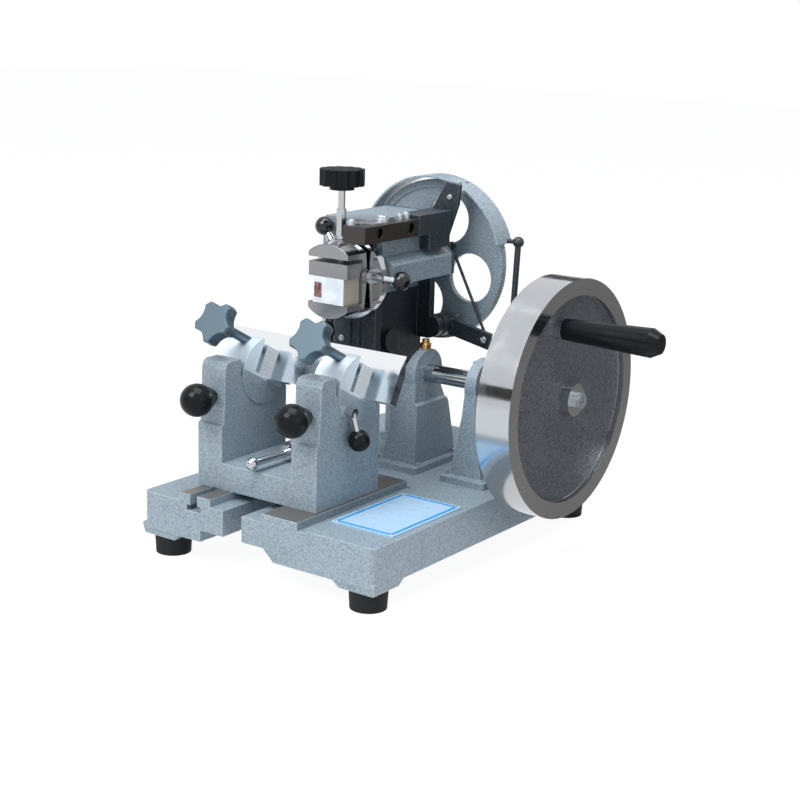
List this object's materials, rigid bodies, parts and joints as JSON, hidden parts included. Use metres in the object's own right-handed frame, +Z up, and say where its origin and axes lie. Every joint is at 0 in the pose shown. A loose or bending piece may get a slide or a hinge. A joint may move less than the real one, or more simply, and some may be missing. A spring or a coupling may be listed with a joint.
{
  "type": "rotary microtome",
  "caption": "Hand-cranked bench instrument that moves a clamped wax specimen down past a tilted steel knife to cut thin sections.",
  "frame": {"origin": "centre of the overall bounding box, at the bottom of the rubber feet", "axes": "+X to the flywheel side, +Y to the back (feed wheel), +Z up; the knife faces the user at -Y"},
  "size_m": [0.3831, 0.35, 0.3255],
  "materials": {
    "hammer_grey": "hammertone",
    "dark_casting": "satin",
    "machined_steel": "ground",
    "polished_steel": "polished",
    "bright_steel": "polished",
    "zinc_steel": "satin",
    "satin_metal": "satin",
    "black_plastic": "gloss",
    "black_rubber": "matte",
    "pale_blue_label": "satin",
    "brass": "satin",
    "wax": "matte",
    "tissue": "matte"
  },
  "bodies": {
    "base": {"base_casting": "hammer_grey", "base_feet": "black_rubber", "nameplate": "pale_blue_label", "inner_bearing": "hammer_grey", "outer_bearing": "hammer_grey", "oil_cup": "brass", "bearing_bolts": "zinc_steel", "guide_column": "hammer_grey"},
    "carriage": {"knife_carriage": "hammer_grey", "carriage_bolt": "zinc_steel"},
    "carriage_clamp": {"clamp_lever": "bright_steel"},
    "left_lock": {"left_lock_knob": "black_plastic"},
    "right_lock": {"right_lock_knob": "black_plastic"},
    "knife_clamp": {"left_rocker": "hammer_grey", "right_rocker": "hammer_grey", "left_jaw": "machined_steel", "right_jaw": "machined_steel", "knife": "polished_steel", "tilt_lever": "bright_steel", "tilt_ball": "black_plastic"},
    "left_plate": {"left_press_plate": "machined_steel"},
    "right_plate": {"right_press_plate": "machined_steel"},
    "left_screw": {"left_clamp_screw": "satin_metal"},
    "right_screw": {"right_clamp_screw": "satin_metal"},
    "drive": {"main_shaft": "bright_steel", "crank_web": "dark_casting", "flywheel": "bright_steel", "hub_washer": "bright_steel", "hub_screw": "zinc_steel", "handle_spindle": "bright_steel"},
    "grip": {"handle_grip": "black_plastic"},
    "slide": {"slide_block": "dark_casting", "feed_housing": "hammer_grey", "rear_cap": "satin_metal", "guard_bracket": "dark_casting", "wheel_guard": "hammer_grey", "guard_screws": "zinc_steel", "feed_block": "machined_steel", "block_screws": "zinc_steel", "scale_pointer": "machined_steel"},
    "feed_ram": {"feed_slide": "machined_steel"},
    "ratchet": {"feed_wheel": "hammer_grey", "feed_screw": "bright_steel"},
    "head": {"head_plate": "bright_steel"},
    "vise": {"vise_body": "bright_steel", "specimen_block": "wax", "specimen_tissue": "tissue"},
    "jaw": {"vise_jaw": "machined_steel"},
    "jaw_screw": {"vise_screw": "bright_steel", "vise_knob": "black_plastic"},
    "turn_lever": {"turn_lock": "black_plastic"},
    "tilt_axle": {"tilt_lock": "black_plastic"},
    "lower_lever": {"lower_lock": "black_plastic"},
    "pawl_carrier": {"pawl_arm": "dark_casting"},
    "pawl_link": {"link_rod": "dark_casting"},
    "pawl_rocker": {"pawl_lever": "dark_casting"},
    "throw": {"throw_lever": "dark_casting"}
  },
  "joints": [
    {"name": "carriage_travel", "type": "slide", "parent": "base", "child": "carriage", "axis": [0, 1, 0], "range_m": [-0.026, 0]},
    {"name": "carriage_clamp_turn", "type": "hinge", "parent": "carriage", "child": "carriage_clamp", "pos_m": [-0.09, -0.093, 0.092], "axis": [0, 0, 1], "range_deg": [-25, 25]},
    {"name": "left_lock_turn", "type": "hinge", "parent": "carriage", "child": "left_lock", "pos_m": [-0.1405, -0.161, 0.14], "axis": [0, 1, 0], "range_deg": [-180, 180]},
    {"name": "right_lock_turn", "type": "hinge", "parent": "carriage", "child": "right_lock", "pos_m": [-0.0395, -0.161, 0.14], "axis": [0, 1, 0], "range_deg": [-180, 180]},
    {"name": "knife_tilt", "type": "hinge", "parent": "carriage", "child": "knife_clamp", "pos_m": [-0.09, -0.0905, 0.155], "axis": [1, 0, 0], "range_deg": [-6, 6]},
    {"name": "left_plate_press", "type": "slide", "parent": "knife_clamp", "child": "left_plate", "axis": [0, -0.8829, 0.4695], "range_m": [0, 0.003]},
    {"name": "right_plate_press", "type": "slide", "parent": "knife_clamp", "child": "right_plate", "axis": [0, -0.8829, 0.4695], "range_m": [0, 0.003]},
    {"name": "left_screw_turn", "type": "hinge", "parent": "left_plate", "child": "left_screw", "pos_m": [-0.1405, -0.08158, 0.17178], "axis": [0, -0.8829, 0.4695], "range_deg": [0, 866]},
    {"name": "right_screw_turn", "type": "hinge", "parent": "right_plate", "child": "right_screw", "pos_m": [-0.0395, -0.08158, 0.17178], "axis": [0, -0.8829, 0.4695], "range_deg": [0, 866]},
    {"name": "flywheel_turn", "type": "hinge", "parent": "base", "child": "drive", "pos_m": [0.0535, 0.037, 0.144], "axis": [1, 0, 0], "continuous": true},
    {"name": "grip_turn", "type": "hinge", "parent": "drive", "child": "grip", "pos_m": [0.1435, 0.0146, 0.2078], "axis": [1, 0, 0], "continuous": true},
    {"name": "specimen_stroke", "type": "slide", "parent": "base", "child": "slide", "axis": [0, 0, 1], "range_m": [-0.0525, 0.0015]},
    {"name": "feed_advance", "type": "slide", "parent": "slide", "child": "feed_ram", "axis": [0, 1, 0], "range_m": [-0.012, 0.0007]},
    {"name": "feed_wheel_turn", "type": "hinge", "parent": "slide", "child": "ratchet", "pos_m": [-0.0895, 0.11, 0.232], "axis": [0, 1, 0], "range_deg": [-506, 8650]},
    {"name": "head_turn", "type": "hinge", "parent": "feed_ram", "child": "head", "pos_m": [-0.0895, -0.023, 0.232], "axis": [0, 1, 0], "range_deg": [-12, 12]},
    {"name": "head_tilt", "type": "hinge", "parent": "head", "child": "vise", "pos_m": [-0.09, -0.028, 0.236], "axis": [1, 0, 0], "range_deg": [-6, 6]},
    {"name": "vise_jaw_lift", "type": "slide", "parent": "vise", "child": "jaw", "axis": [0, 0, 1], "range_m": [0, 0.004]},
    {"name": "vise_screw_turn", "type": "hinge", "parent": "jaw", "child": "jaw_screw", "pos_m": [-0.09, -0.0355, 0.27], "axis": [0, 0, 1], "range_deg": [0, 962]},
    {"name": "turn_lever_turn", "type": "hinge", "parent": "head", "child": "turn_lever", "pos_m": [-0.0895, -0.0213, 0.232], "axis": [-0.5878, 0, 0.809], "range_deg": [-20, 20]},
    {"name": "tilt_axle_turn", "type": "hinge", "parent": "head", "child": "tilt_axle", "pos_m": [-0.09, -0.028, 0.236], "axis": [1, 0, 0], "range_deg": [-20, 20]},
    {"name": "lower_lever_turn", "type": "hinge", "parent": "vise", "child": "lower_lever", "pos_m": [-0.1065, -0.035, 0.195], "axis": [0, 0, 1], "range_deg": [-90, 90]},
    {"name": "pawl_arm_swing", "type": "hinge", "parent": "slide", "child": "pawl_carrier", "pos_m": [-0.0705, 0.095, 0.176], "axis": [0, 1, 0], "range_deg": [-6, 6]},
    {"name": "pawl_link_swing", "type": "hinge", "parent": "pawl_carrier", "child": "pawl_link", "pos_m": [-0.0255, 0.099, 0.167], "axis": [0, 1, 0], "range_deg": [-5, 5]},
    {"name": "pawl_lever_swing", "type": "hinge", "parent": "slide", "child": "pawl_rocker", "pos_m": [-0.0895, 0.089, 0.232], "axis": [0, 1, 0], "range_deg": [-9, 9]},
    {"name": "throw_lever_swing", "type": "hinge", "parent": "base", "child": "throw", "pos_m": [0.0075, 0.0865, 0.15], "axis": [1, 0, 0], "range_deg": [-10, 10]}
  ],
  "couplings": [
    {"joint": "left_screw_turn", "follows": "left_plate_press", "rad_per_m": 5026.5},
    {"joint": "right_screw_turn", "follows": "right_plate_press", "rad_per_m": 5026.5},
    {"joint": "feed_wheel_turn", "follows": "feed_advance", "rad_per_m": -12566},
    {"joint": "vise_screw_turn", "follows": "vise_jaw_lift", "rad_per_m": 4188.8},
    {"joint": "pawl_link_swing", "follows": "pawl_arm_swing", "ratio": -0.63},
    {"joint": "pawl_lever_swing", "follows": "pawl_arm_swing", "ratio": 1.339}
  ]
}
